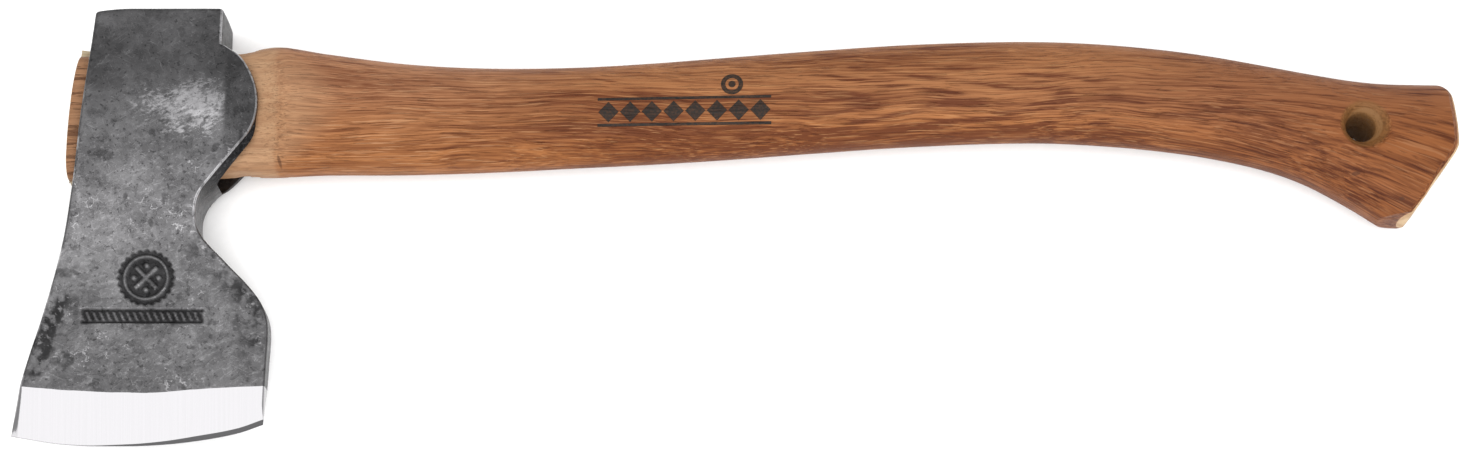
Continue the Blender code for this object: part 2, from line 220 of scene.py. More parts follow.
class Graph:
    """Short names for the nodes that the materials use."""

    def __init__(self, tree):
        self.tree = tree

    def link(self, source, target):
        self.tree.links.new(source, target)

    def make(self, kind, inputs, **settings):
        """Add a node with the given settings, and set or link each input of a mapping."""
        node = self.tree.nodes.new("ShaderNode" + kind)
        for name, value in settings.items():
            setattr(node, name, value)
        for key, value in inputs.items():
            if isinstance(value, bpy.types.NodeSocket):
                self.link(value, node.inputs[key])
            else:
                node.inputs[key].default_value = value
        return node

    def position(self):
        """Place on the object, in metres of the row frame."""
        return self.make("TexCoord", {}).outputs["Object"]

    def split(self, vector):
        return tuple(self.make("SeparateXYZ", {0: vector}).outputs)

    def join(self, x, y, z):
        return self.make("CombineXYZ", {0: x, 1: y, 2: z}).outputs[0]

    def math(self, operation, a, b=0.0):
        return self.make("Math", {0: a, 1: b}, operation=operation).outputs[0]

    def add(self, a, *others):
        for b in others:
            a = self.math("ADD", a, b)
        return a

    def sub(self, a, b):
        return self.math("SUBTRACT", a, b)

    def mul(self, a, *others):
        for b in others:
            a = self.math("MULTIPLY", a, b)
        return a

    def most(self, a, *others):
        for b in others:
            a = self.math("MAXIMUM", a, b)
        return a

    def hypot(self, a, b):
        return self.math("SQRT", self.add(self.mul(a, a), self.mul(b, b)))

    def stretch(self, vector, scale, turn=0.0):
        """Scale a vector, after turning it about z by a number of degrees."""
        if turn:
            angle = math.radians(turn)
            vector = self.make("VectorRotate", {"Vector": vector, "Angle": angle},
                               rotation_type="Z_AXIS").outputs[0]
        return self.make("VectorMath", {0: vector, 1: scale}, operation="MULTIPLY").outputs[0]

    def shift(self, vector, other):
        return self.make("VectorMath", {0: vector, 1: other}, operation="ADD").outputs[0]

    def noise(self, vector, scale, detail=2.0, roughness=0.5):
        return self.make("TexNoise", {"Vector": vector, "Scale": scale, "Detail": detail,
                                      "Roughness": roughness}).outputs["Fac"]

    def strands(self, vector, scale, detail=2.0, roughness=0.5, turn=0.0):
        """Noise with its own scale along each axis."""
        return self.noise(self.stretch(vector, scale, turn), 1.0, detail, roughness)

    def cells(self, vector, scale):
        return self.make("TexVoronoi", {"Vector": vector, "Scale": scale}).outputs["Distance"]

    def ramp(self, value, low, high, out_low=0.0, out_high=1.0, kind="LINEAR"):
        """Carry low to out_low and high to out_high, straight between them and level outside."""
        inputs = {"Value": value, "From Min": low, "From Max": high, "To Min": out_low, "To Max": out_high}
        return self.make("MapRange", inputs, interpolation_type=kind, clamp=True).outputs["Result"]

    def remap(self, value, low, high, out_low=0.0, out_high=1.0):
        """The same as ramp with an S-shaped rise."""
        return self.ramp(value, low, high, out_low, out_high, "SMOOTHSTEP")

    def mix(self, factor, a, b, blend="MIX"):
        a, b = ((*value, 1.0) if isinstance(value, tuple) else value for value in (a, b))
        return self.make("Mix", {0: factor, 6: a, 7: b}, data_type="RGBA", blend_type=blend).outputs[2]

    def tint(self, factor, colour, by):
        return self.mix(factor, colour, by, blend="MULTIPLY")

    def grey(self, value, tint=(1.0, 1.0, 1.0)):
        inputs = {key: self.mul(value, part) for key, part in enumerate(tint)}
        return self.make("CombineColor", inputs).outputs[0]

    def attribute(self, name):
        return self.make("Attribute", {}, attribute_name=name).outputs["Fac"]

    def bump(self, height, depth):
        return self.make("Bump", {"Strength": 1.0, "Distance": depth, "Height": height}).outputs[0]


def new_material(name):
    material = bpy.data.materials.new(name)
    material.use_nodes = True
    shader = material.node_tree.nodes["Principled BSDF"]
    return material, Graph(material.node_tree), shader


# ---- shape helpers


def smooth_curve(points, t, column=1):
    """Values of a smooth curve through (t, value) points, which may run up or down in t."""
    points = np.array(sorted(points), float)
    places, values = points[:, 0], points[:, column]
    t = np.clip(np.asarray(t, float), places[0], places[-1])
    k = np.clip(np.searchsorted(places, t) - 1, 0, len(places) - 2)
    before = np.maximum(np.arange(len(places)) - 1, 0)
    after = np.minimum(np.arange(len(places)) + 1, len(places) - 1)
    slopes = (values[after] - values[before]) / (places[after] - places[before])
    span = places[k + 1] - places[k]
    s = (t - places[k]) / span
    return ((2 * s ** 3 - 3 * s ** 2 + 1) * values[k] + (s ** 3 - 2 * s ** 2 + s) * span * slopes[k]
            + (-2 * s ** 3 + 3 * s ** 2) * values[k + 1] + (s ** 3 - s ** 2) * span * slopes[k + 1])


def step(value, low, high):
    """0 below low, 1 above high, smooth between; low may be the larger."""
    s = np.clip((value - low) / (high - low), 0.0, 1.0)
    return s * s * (3 - 2 * s)


def lattice(ix, iy, seed):
    value = np.sin(ix * 127.1 + iy * 311.7 + seed * 74.7) * 43758.5453
    return value - np.floor(value)


def noise(x, y, size, seed, octaves=3):
    """Smooth noise from -1 to 1 with features of about the given size, with finer octaves added."""
    total, weight, norm = 0.0, 1.0, 0.0
    for octave in range(octaves):
        u, v = x / size * 2 ** octave, y / size * 2 ** octave
        iu, iv = np.floor(u), np.floor(v)
        fu, fv = u - iu, v - iv
        fu, fv = fu * fu * (3 - 2 * fu), fv * fv * (3 - 2 * fv)
        s = seed + 13.0 * octave
        low = lattice(iu, iv, s) * (1 - fu) + lattice(iu + 1, iv, s) * fu
        high = lattice(iu, iv + 1, s) * (1 - fu) + lattice(iu + 1, iv + 1, s) * fu
        total = total + weight * ((low * (1 - fv) + high * fv) * 2 - 1)
        norm += weight
        weight *= 0.5
    return total / norm


def grid_faces(index, flip=False):
    """Quads of a 2-D array of vertex numbers."""
    a, b = index[:-1, :-1].ravel(), index[:-1, 1:].ravel()
    c, d = index[1:, 1:].ravel(), index[1:, :-1].ravel()
    order = (a, d, c, b) if flip else (a, b, c, d)
    return np.stack(order, axis=1).tolist()


class Shell:
    """Vertices and faces of one closed body, gathered grid by grid."""

    def __init__(self):
        self.points = []
        self.faces = []
        self.ends = set()
        self.count = 0

    def add(self, x, y, z):
        x, y, z = np.broadcast_arrays(x, y, z)
        index = self.count + np.arange(x.size).reshape(x.shape)
        self.points.append(np.stack([x.ravel(), y.ravel(), z.ravel()], axis=1))
        self.count += x.size
        return index

    def fill(self, faces, end=False):
        if end:
            self.ends.update(range(len(self.faces), len(self.faces) + len(faces)))
        self.faces.extend(faces)

    def mesh(self, name, attributes=None):
        points = (np.concatenate(self.points) + np.array(ORIGIN)) * MM
        mesh = bpy.data.meshes.new(name)
        mesh.from_pydata(points.tolist(), [], self.faces)
        for key, values in (attributes or {}).items():
            layer = mesh.attributes.new(key, "FLOAT", "POINT")
            layer.data.foreach_set("value", np.asarray(values, np.float32).ravel())
        if self.ends:
            ids = np.zeros(len(mesh.polygons), np.int32)
            ids[sorted(self.ends)] = 1
            mesh.polygons.foreach_set("material_index", ids)
        bm = bmesh.new()
        bm.from_mesh(mesh)
        bmesh.ops.recalc_face_normals(bm, faces=bm.faces)
        bm.to_mesh(mesh)
        bm.free()
        return mesh


def add_object(name, mesh, materials=()):
    for material in materials:
        mesh.materials.append(material)
    obj = bpy.data.objects.new(name, mesh)
    bpy.context.scene.collection.objects.link(obj)
    return obj


def finish_piece(obj, node, sharp_degrees):
    obj.data.shade_smooth()
    obj.data.set_sharp_from_angle(angle=math.radians(sharp_degrees))
    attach(obj, BODY)
    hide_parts(node)


def cut_away(obj, cutters):
    """Subtract the cutters from obj for good, and remove them."""
    for cutter in cutters:
        modifier = obj.modifiers.new(cutter.name, "BOOLEAN")
        modifier.operation = "DIFFERENCE"
        modifier.solver = "EXACT"
        modifier.object = cutter
    graph = bpy.context.evaluated_depsgraph_get()
    obj.data = bpy.data.meshes.new_from_object(obj.evaluated_get(graph))
    obj.modifiers.clear()
    for cutter in cutters:
        bpy.data.objects.remove(cutter, do_unlink=True)


# ---- axe head


def head_back_x(y):
    return np.where(y >= LUG_TOP_Y, POLL_BACK_X, smooth_curve(HEAD_BACK, y))


def cheek_half(x, y):
    lug = np.clip((x - LUG_START_X) / (LUG_RIM_X - LUG_START_X), 0.0, 1.0)
    beside_eye = np.where(y > -LUG_TOP_Y, np.clip(1.0 - np.abs(y / LUG_TOP_Y) ** 2, 0.0, 1.0), 0.0)
    return smooth_curve(HEAD_HALF_THICKNESS, y) - LUG_TAPER * lug * beside_eye


def eye_half(y):
    centre, reach = (EYE_TOP + EYE_BOTTOM) / 2, (EYE_TOP - EYE_BOTTOM) / 2
    t = np.clip(np.abs((y - centre) / reach), 0.0, 1.0)
    return EYE_HALF_WIDTH * (1 - t ** EYE_POWER) ** (1 / EYE_POWER)


def stamp_mask(x, y):
    """How deep the stamp is pressed, from 0 to 1: a plain ring with a cross, over a ribbed bar."""
    dx, dy = x - STAMP_CENTRE[0], y - STAMP_CENTRE[1]
    radius, angle = np.hypot(dx, dy), np.arctan2(dy, dx)
    edge = STAMP_RADIUS + 0.35 * np.cos(24 * angle)
    disc = step(radius, edge + 0.25, edge - 0.35)
    ring = step(radius, 7.0, 7.4) * step(radius, 8.4, 8.0)
    arms = np.minimum(np.abs(dx + dy), np.abs(dx - dy)) / np.sqrt(2)
    cross = step(arms, 0.95, 0.5) * step(radius, 5.7, 5.2)
    dots = np.minimum(np.hypot(np.abs(dx) - 4.4, dy), np.hypot(dx, np.abs(dy) - 4.4))
    raised = np.maximum(np.maximum(ring, cross), step(dots, 1.1, 0.7))
    disc = disc * (1 - 0.8 * raised)
    bx, by = np.abs(x - BAR_CENTRE[0]), np.abs(y - BAR_CENTRE[1])
    bar = step(bx, BAR_HALF[0] + 0.2, BAR_HALF[0] - 0.3) * step(by, BAR_HALF[1] + 0.25, BAR_HALF[1] - 0.3)
    pitch = (x - BAR_CENTRE[0] + 0.45 * (y - BAR_CENTRE[1])) / 2.4
    rib = step(np.abs(pitch - np.round(pitch)), 0.3, 0.16)
    bar = bar * (1 - 0.75 * rib * step(by, BAR_HALF[1] - 0.6, BAR_HALF[1] - 1.2))
    return np.maximum(disc, bar)


def head_rows():
    """Each row's nominal height, its inset at the poll's rounded end, and its share down the bevel."""
    body = np.concatenate([np.linspace(37.9, -48.0, 150), np.linspace(-48.0, -78.0, 88)[1:],
                           np.linspace(-78.0, BEVEL_TOP_MEAN, 38)[1:]])
    poll = np.array([POLL_Y, 38.73, 38.4])
    bevel = np.concatenate([[0.008], np.linspace(0.04, HEEL_SHARE, 30), [HEEL_SHARE + 0.005],
                            np.linspace(HEEL_SHARE + 0.02, 1.0, 4)])
    nominal = np.concatenate([poll, body, np.full(len(bevel), BEVEL_TOP_MEAN)])
    inset = np.concatenate([[0.8, 0.38, 0.1], np.zeros(len(body) + len(bevel))])
    return nominal, inset[:, None], np.concatenate([np.zeros(len(poll) + len(body)), bevel])


def row_height(nominal, x):
    """Height y of a row at x: straight at the eye, curved like the top of the bevel near it."""
    curve = smooth_curve(BEVEL_TOP, x) + 0.18 * noise(x, x * 0 + 3.0, 6.0, 5.0)
    bend = step(nominal, -70.0, BEVEL_TOP_MEAN)
    worn = 1.3 * np.clip((-9.0 - x) / 14.0, 0.0, 1.0) ** 2 * step(nominal, 20.0, 38.0)
    return nominal - worn + (curve - BEVEL_TOP_MEAN) * bend


CHEEK_COLUMNS = 150
TONE = 0.0885                   # reflectance of the forge scale
MASKS = ("bevel", "bare", "dark", "tone", "recess", "rim", "heel", "toe")
SIDE_CELLS = 5
ARC_ANGLES = np.radians([67.5, 45.0, 22.5])


def head_panel():
    """One half of the head, as grids x, y, z with z > 0, and each row's share of the bevel."""
    nominal, inset, share = head_rows()
    low = share[:, None]

    def height(x):
        top = row_height(nominal[:, None], x)
        edge, facet = edge_y(x), smooth_curve(HEEL_FACET, x)
        main = top + (edge + facet - top) * low / HEEL_SHARE
        honed = edge + facet * (1 - low) / (1 - HEEL_SHARE)
        return np.where(low > HEEL_SHARE, honed, main)

    front_guess = np.full(low.shape, -40.0)
    back_guess = np.full(low.shape, 40.0)
    for _ in range(3):
        front_guess = smooth_curve(HEAD_FRONT, height(front_guess))
        back_guess = head_back_x(height(back_guess))
    front = front_guess + inset
    back = back_guess - inset

    def thickness(x, y):
        full = cheek_half(x, y) - inset
        shoulder = EDGE_HALF + HEEL_SLOPE * smooth_curve(HEEL_FACET, x)
        top = cheek_half(x, smooth_curve(BEVEL_TOP, x))
        main = shoulder + (top - shoulder) * (1 - low / HEEL_SHARE)
        facet = EDGE_HALF + (shoulder - EDGE_HALF) * (1 - low) / (1 - HEEL_SHARE)
        ground = np.where(low > HEEL_SHARE, facet, main)
        return np.where(low > 0, ground, full)

    end_half = thickness(front, height(front))
    radius = np.minimum(RIM_RADIUS, 0.45 * end_half)
    u = np.linspace(0.0, 1.0, CHEEK_COLUMNS + 1)[None, :]
    cheek_x = front + radius + (back - front - 2 * radius) * u
    cheek_y = height(cheek_x)
    cheek_z = thickness(cheek_x, cheek_y)

    def flank(x_side, sign):
        """Side face and rounded rim, from the middle of the head out to the cheek."""
        y_side = height(x_side)
        half = thickness(x_side, y_side)
        wall = eye_half(y_side)
        inner = np.minimum(np.maximum(wall + EYE_RIM, 3.4), 0.4 * half)
        inner = np.where(wall > EYE_OPEN_HALF, wall + EYE_RIM, inner)
        outer = half - radius
        w = np.linspace(0.0, 1.0, SIDE_CELLS + 1)[None, :]
        z = inner + (outer - inner) * w
        crown = 0.3 * step(y_side, -58.0, -42.0) * (1 - (z / half) ** 2)
        flare = (0.0 if sign < 0 else 2.7) * step(y_side, -1.0, -13.0) * step(y_side, -33.0, -22.0) * (1 - w)
        x = x_side + sign * (crown + flare)
        arc_x = x_side + sign * (radius * np.cos(ARC_ANGLES[::-1])[None, :] - radius)
        arc_z = outer + radius * np.sin(ARC_ANGLES[::-1])[None, :]
        return np.hstack([x, arc_x]), np.hstack([z, arc_z])

    front_x, front_z = flank(front, -1.0)
    back_x, back_z = flank(back, 1.0)
    x = np.hstack([front_x, cheek_x, back_x[:, ::-1]])
    z = np.hstack([front_z, cheek_z, back_z[:, ::-1]])
    y = height(x)
    return x, y, z, share


def weather_head(x, y, z, share, stamped, seed):
    """Forging marks, pits and the stamp, as a change of z, with the ground bevel left smooth."""
    flat = step(share[:, None], 0.02, 0.0)
    inside = step(z, 0.8, 2.5)
    lump = 0.10 * noise(x, y, 13.0, seed) + 0.035 * noise(x, y, 3.2, seed + 1)
    cluster = step(noise(x, y, 16.0, seed + 2), -0.25, 0.45)
    pits = -0.10 * step(noise(x, y, 1.5, seed + 3, 2), 0.38, 0.62) * cluster
    change = (lump + pits) * flat * inside
    if stamped:
        change = change - STAMP_DEPTH * stamp_mask(x, y) * flat
    return change


def edge_y(x):
    return np.maximum(smooth_curve(EDGE_LINE, x), EDGE_LOWEST)


def toe_width(low):
    return TOE_WIDTH[0] + TOE_WIDTH[1] * low


def toe_facet(x, y, z, share):
    """The ground bevel narrows along a small facet down the toe."""
    low = np.clip(share[:, None], 0.0, 1.0)
    across = np.clip((x - smooth_curve(HEAD_FRONT, y)) / toe_width(low), 0.0, 1.0)
    return z * (1 - 0.6 * low ** 0.7 * (1 - across))


def head_masks(x, y, share, stamped, seed):
    """Point values for the steel: masks of its regions from 0 to 1 (the rim mask is a painted highlight), and
    the reflectance of the scale with painted shade on back side faces.
    """
    low = share[:, None] + x * 0
    bevel = (low > 0).astype(float)
    crown = 1.35 * np.exp(-((x - 16.5) / 9.0) ** 2 - ((y - 1.5) / 8.0) ** 2) * step(x, 26.5, 24.8)
    crown = crown + 0.50 * np.exp(-((x - 2.0) / 9.0) ** 2 - ((y - 3.0) / 4.5) ** 2)
    halo = np.exp(-((x - 6.0) / 20.0) ** 2 - ((y + 2.0) / 13.0) ** 2)
    uneven = 0.85 + 0.7 * noise(x * 0.7 + y * 0.3, y * 1.4, 4.0, seed + 5)
    bare = np.clip(crown * uneven + 0.28 * halo, 0.0, 1.0)
    bare = np.maximum(bare, 0.22 * step(y, 2.0, -16.0))
    from_front, from_back = x - smooth_curve(HEAD_FRONT, y), head_back_x(y) - x
    left = np.exp(-((from_front - 4.0) / 6.5) ** 2) * step(y, -50.0, -66.0)
    right = np.exp(-((from_back - 4.0) / 6.0) ** 2) * step(y, -44.0, -52.0) * step(y, -98.0, -82.0)
    patches = step(noise(x, y, 7.0, seed + 7, 4), -0.22, 0.12)
    fine = step(noise(x, y, 2.6, seed + 8, 3), -0.30, 0.10)
    dark = np.clip((left * 1.15 + right * 0.95) * patches * fine, 0.0, 1.0)
    dots = step(noise(x, y, 4.5, seed + 9, 4), 0.40, 0.52) * step(y, 10.0, -5.0)
    dark = np.maximum(dark, 0.55 * dots)
    lug = step(x, 24.2, 26.6) * step(y, -26.0, -10.0) * step(y, 26.0, 16.0)
    blotch = noise(x, y, 11.0, seed + 15, 3)
    shade = 1.0 - 0.30 * lug - 0.12 * step(y, -62.0, -88.0)
    shade = shade + 0.30 * step(y, -38.0, -48.0) * step(y, -74.0, -58.0) * step(x, 24.0, 0.0)
    shade = shade - 0.18 * step(y, -24.0, -10.0) - 0.10 * step(y, 6.0, 16.0) + 0.50 * np.clip(crown, 0.0, 1.0)
    shade = shade + 0.12 * step(from_front, 12.0, 2.0) * step(y, -44.0, -54.0)
    shade = shade - 0.14 * step(from_back, 16.0, 4.0) * step(y, -62.0, -72.0)
    shade = shade * (1 + 0.06 * blotch)
    # Painted shade, with some darker scale, on the back side faces: beside the poll on both halves, and
    # beside the lug on the stamped half.
    back_side = slice(-SIDE_CELLS - 1, None)
    shaded_lug_side = step(y, -34.0, -27.0) * step(y, 4.0, -8.0)
    shade[:, back_side] *= (1 - 0.55 * step(y, 20.0, 26.0) - 0.66 * shaded_lug_side * stamped)[:, back_side]
    # Painted highlight: a bright line in patches along the first cheek columns at the front and back rims.
    rim_highlight = np.zeros_like(x)
    rim = SIDE_CELLS + 1
    rim_highlight[:, rim:rim + 3] = 1.0
    rim_highlight[:, -rim - 3:-rim] = 1.0
    gate_front = step(noise(x * 0, y, 6.0, seed + 11, 3), 0.05, 0.4) * step(y, 12.0, -4.0)
    gate_back = step(noise(x * 0, y, 9.0, seed + 12, 3), -0.75, -0.1) * step(y, -46.0, -34.0)
    half = x.shape[1] // 2
    rim_highlight[:, :half] *= gate_front[:, :half]
    rim_highlight[:, half:] *= gate_back[:, half:]
    recess = stamp_mask(x, y) * stamped
    heel = (low > HEEL_SHARE + 0.001).astype(float)
    toe = np.clip(0.5 + (toe_width(low) - from_front) / 1.6, 0.0, 1.0) * (low > 0.02)
    return dict(zip(MASKS, (bevel, bare, dark, shade * TONE, recess, rim_highlight, heel, toe)))


def make_head():
    x, y, z, share = head_panel()
    z = toe_facet(x, y, z, share)
    shell = Shell()
    panels, masks = [], []
    for sign, stamped, seed in ((1.0, 1.0, 21.0), (-1.0, 0.0, 47.0)):
        lifted = z + weather_head(x, y, z, share, stamped, seed)
        lifted = np.where(share[:, None] > 0, lifted, np.minimum(lifted, CAD_HIGH.z / MM / 2))
        panels.append(shell.add(x, y, sign * lifted))
        masks.append(head_masks(x, y, share, stamped, seed))
        shell.fill(grid_faces(panels[-1], flip=sign < 0))
    near, far = panels

    open_rows = np.nonzero(eye_half(y[:, 0]) > EYE_OPEN_HALF)[0]
    first, last = open_rows[0], open_rows[-1]
    for column in (0, -1):
        strip = np.stack([near[:, column], far[:, column]], axis=1)
        shell.fill(grid_faces(strip[:first + 1]))
        shell.fill(grid_faces(strip[last:]))

    walls = []
    rows = slice(first, last + 1)
    reach = np.linspace(0.0, 1.0, 9)[None, :]
    x_front, x_back = x[rows, :1] + EYE_RIM, x[rows, -1:] - EYE_RIM
    tunnel_x = x_front + (x_back - x_front) * reach
    tunnel_y = y[rows, :1] + (y[rows, -1:] - y[rows, :1]) * reach
    tunnel_z = eye_half(tunnel_y) + 0.05 * noise(tunnel_x, tunnel_y, 4.0, 9.0)
    for sign, panel in ((1.0, near), (-1.0, far)):
        inner = shell.add(tunnel_x, tunnel_y, sign * tunnel_z)
        wall = np.hstack([panel[rows, :1], inner, panel[rows, -1:]])
        shell.fill(grid_faces(wall, flip=sign > 0))
        walls.append(wall)
    for row in (0, -1):
        shell.fill(grid_faces(np.stack([walls[0][row], walls[1][row]])))

    caps = [cap_rows(shell, near[row], far[row], x[row], y[row], z[row]) for row in (0, -1)]

    count = shell.count - near.size - far.size
    attributes = {}
    for key in MASKS:
        rest = np.full(count, TONE if key == "tone" else 0.0)
        if key == "bevel":
            rest[len(rest) - caps[1]:] = 1.0
        attributes[key] = np.concatenate([masks[0][key].ravel(), masks[1][key].ravel(), rest])
    head = add_object("forged_head", shell.mesh("forged_head", attributes), [steel_material()])
    finish_piece(head, "axe_head", 50)


def cap_rows(shell, near, far, x, y, z):
    """Close an end of the head with a grid whose rows continue the side faces' rows."""
    sides = SIDE_CELLS + 1
    shares = z[:sides] / z[sides - 1]
    levels = np.concatenate([shares[::-1], -shares])
    columns = np.arange(sides - 1, len(x) - sides + 1)
    inner = columns[1:-1]
    before = shell.count
    body = shell.add(x[inner], y[inner], levels[1:-1, None] * z[inner])
    top = near[inner][None, :]
    bottom = far[inner][None, :]
    left = np.concatenate([near[:sides][::-1], far[:sides]])[:, None]
    right = np.concatenate([near[-sides:], far[-sides:][::-1]])[:, None]
    index = np.hstack([left, np.vstack([top, body, bottom]), right])
    shell.fill(grid_faces(index))
    return shell.count - before


def steel_material():
    material, g, shader = new_material("forged_steel")
    p = g.position()
    bevel, bare, dark, tone, recess, rim, heel, toe = (g.attribute(name) for name in MASKS)

    clouds = g.noise(p, 60.0, detail=3.0)
    mottle = g.noise(p, 420.0, detail=6.0, roughness=0.65)
    grit = g.noise(p, 2600.0, detail=3.0, roughness=0.6)
    plates = g.noise(p, 62.0, detail=9.0, roughness=0.56)
    flakes = g.noise(g.shift(p, (0.31, 0.17, 0.05)), 260.0, detail=6.0, roughness=0.55)
    level = g.mul(tone, g.ramp(clouds, 0.3, 0.7, 0.92, 1.08), g.ramp(mottle, 0.3, 0.7, 0.92, 1.08),
                  g.ramp(grit, 0.3, 0.7, 0.91, 1.09))
    for border in (0.45, 0.50, 0.55):
        level = g.mul(level, g.remap(plates, border - 0.003, border + 0.003, 0.955, 1.045))
    level = g.mul(level, g.remap(flakes, 0.570, 0.577, 1.0, 1.17), g.remap(flakes, 0.423, 0.430, 0.84, 1.0))

    spots = g.mul(g.remap(g.noise(p, 650.0, detail=4.0, roughness=0.6), 0.61, 0.66), 0.6)
    scale = g.most(g.mul(dark, g.remap(mottle, 0.36, 0.45)), spots)
    level = g.mul(level, g.sub(1.0, g.mul(scale, 0.76)), g.sub(1.0, g.mul(recess, 0.80)))

    flecks = g.remap(g.noise(p, 1300.0, detail=5.0, roughness=0.75), 0.60, 0.67)
    flaky = g.strands(p, (430.0, 800.0, 700.0), detail=7.0, roughness=0.72, turn=-18.0)
    worn = g.mul(g.remap(g.add(g.mul(bare, 0.20), flaky), 0.56, 0.72), g.remap(bare, 0.02, 0.45))
    plate_border = g.math("ABSOLUTE", g.sub(plates, 0.501))
    flake_border = g.math("ABSOLUTE", g.sub(flakes, 0.573))
    crack = g.math("MINIMUM", plate_border, flake_border)
    crack = g.mul(g.remap(crack, 0.008, 0.002), g.remap(g.noise(p, 330.0, detail=3.0), 0.50, 0.57),
                  g.remap(g.noise(g.shift(p, (0.7, 0.2, 0.4)), 55.0), 0.47, 0.56))
    scratch = 0.0
    for turn in (24.0, -38.0, 71.0):
        lines = g.strands(p, (60.0, 2600.0, 2600.0), turn=turn)
        scratch = g.most(scratch, g.remap(lines, 0.68, 0.74))
    # Painted highlight along the cheeks' rims, from the rim mask.
    edge = g.mul(rim, g.remap(mottle, 0.36, 0.52, 0.5, 1.8))
    bright = g.most(g.mul(flecks, g.remap(bare, 0.0, 0.5, 0.30, 0.75)), g.mul(scratch, 0.35),
                    g.mul(crack, g.remap(bare, 0.04, 0.22, 0.30, 0.85)), g.mul(worn, 0.85), edge)
    bright = g.mul(bright, g.sub(1.0, g.mul(g.most(scale, recess), 0.92)))
    level = g.add(level, g.mul(bright, 0.142))

    ground_edge = g.remap(g.add(bevel, g.mul(g.sub(mottle, 0.5), 0.5)), 0.42, 0.58)
    polish = g.strands(p, (3000.0, 30.0, 30.0), detail=3.0)
    ground = g.remap(polish, 0.3, 0.7, 0.260, 0.267)
    ground = g.mul(ground, g.sub(1.0, g.mul(g.remap(toe, 0.40, 0.50), 0.12)))
    honed = g.remap(heel, 0.35, 0.65)
    ground = g.add(g.mul(ground, g.sub(1.0, honed)), g.mul(honed, 0.058))
    level = g.add(g.mul(level, g.sub(1.0, ground_edge)), g.mul(ground, ground_edge))
    g.link(g.grey(level, (0.99, 0.975, 1.0)), shader.inputs["Base Color"])
    shader.inputs["Metallic"].default_value = 1.0

    rough = g.ramp(mottle, 0.3, 0.7, 0.38, 0.50)
    rough = g.sub(rough, g.mul(bright, 0.10))
    rough = g.add(g.mul(rough, g.sub(1.0, ground_edge)), g.mul(ground_edge, 0.16))
    g.link(g.add(rough, g.mul(heel, 0.2)), shader.inputs["Roughness"])
    relief = g.add(g.mul(mottle, 0.5), g.mul(grit, 0.30), g.remap(flakes, 0.42, 0.435, 0.0, 0.25))
    relief = g.sub(relief, g.mul(spots, 0.5))
    relief = g.mul(relief, g.sub(1.0, g.mul(ground_edge, 0.97)))
    g.link(g.bump(relief, 0.00014), shader.inputs["Normal"])
    return material


# ---- handle


def handle_section(x):
    """Centre height, half height, half thickness and superellipse power at x."""
    top, bottom = smooth_curve(HANDLE_OUTLINE, x), smooth_curve(HANDLE_OUTLINE, x, column=2)
    return ((top + bottom) / 2, (top - bottom) / 2, smooth_curve(HANDLE_HALF_THICKNESS, x),
            smooth_curve(HANDLE_POWER, x))


def handle_surface(x, angle, shrink=0.0):
    """Points (y, z) of the handle at x, shrunk all round by a distance."""
    centre, half_y, half_z, power = handle_section(x)
    c, s = np.cos(angle), np.sin(angle)
    y = centre + np.sign(c) * np.abs(c) ** (2 / power) * (half_y - shrink)
    z = np.sign(s) * np.abs(s) ** (2 / power) * (half_z - shrink)
    return y, z


def end_curve(points, y):
    places = np.array(points, float)
    return np.interp(y, places[:, 0], places[:, 1])


def meet_end(points, angle, low, high):
    """Where each lengthwise line of the handle meets the end whose x is a function of y, by halving."""
    low, high = np.full(angle.shape, low), np.full(angle.shape, high)
    for _ in range(40):
        middle = (low + high) / 2
        y, _ = handle_surface(middle, angle)
        beyond = middle > end_curve(points, y)
        high = np.where(beyond, middle, high)
        low = np.where(beyond, low, middle)
    return (low + high) / 2


AROUND = 128
NECK_X, GRIP_X, KNOB_X = 20.0, 60.0, 395.0    # where the spacing of the mesh rows changes
OILED_SHARE = 0.7               # how far the oiled wood runs over the chamfer, before the raw end


def end_cap(shell, ring, points, angle, x_end, x_ring, chamfer):
    """Chamfer and flat end: rows between each point of the shrunk section and its mirror image."""
    y, z = handle_surface(x_end, angle, chamfer)
    x = end_curve(points, y)
    y_ring, z_ring = handle_surface(x_ring, angle)
    worn = shell.add(x_ring + (x - x_ring) * OILED_SHARE, y_ring + (y - y_ring) * OILED_SHARE,
                     z_ring + (z - z_ring) * OILED_SHARE)
    border = shell.add(x, y, z)
    loop = np.stack([ring, worn, border])
    loop = np.hstack([loop, loop[:, :1]])
    shell.fill(grid_faces(loop[:2]))
    shell.fill(grid_faces(loop[1:]), end=True)
    half = AROUND // 2
    cells = 8
    rows = []
    for j in range(1, half):
        t = np.arange(1, cells) / cells
        level = z[j] * (1 - 2 * t)
        inner = shell.add(x[j], y[j], level)
        rows.append(np.concatenate([[border[j]], inner, [border[AROUND - j]]]))
    rows = np.array(rows)
    shell.fill(grid_faces(rows), end=True)
    for tip, row in ((border[0], rows[0]), (border[half], rows[-1])):
        shell.fill([[int(tip), int(a), int(b)] for a, b in zip(row[:-1], row[1:])], end=True)


def handle_body(x, angle):
    """Surface of the wood with its slight unevenness; the shaved shoulder has flat knife cuts."""
    y, z = handle_surface(x, angle)
    centre, half_y, half_z, _ = handle_section(x)
    around = angle * 24.0
    inside = step(x, 466.0, 440.0)
    uneven = -0.06 + 0.06 * noise(x / 3.0, around, 9.0, 3.0)
    shoulder = step(x, 27.0, 31.0) * step(x, 50.0, 45.0)
    knife = shoulder * (0.22 * np.round(noise(x / 2.0, around / 1.4, 7.0, 8.0, 1) * 2.0) / 2.0 - 0.1)
    change = 1 + inside * (uneven + knife) / np.minimum(half_y, half_z)
    return centre + (y - centre) * change, z * change


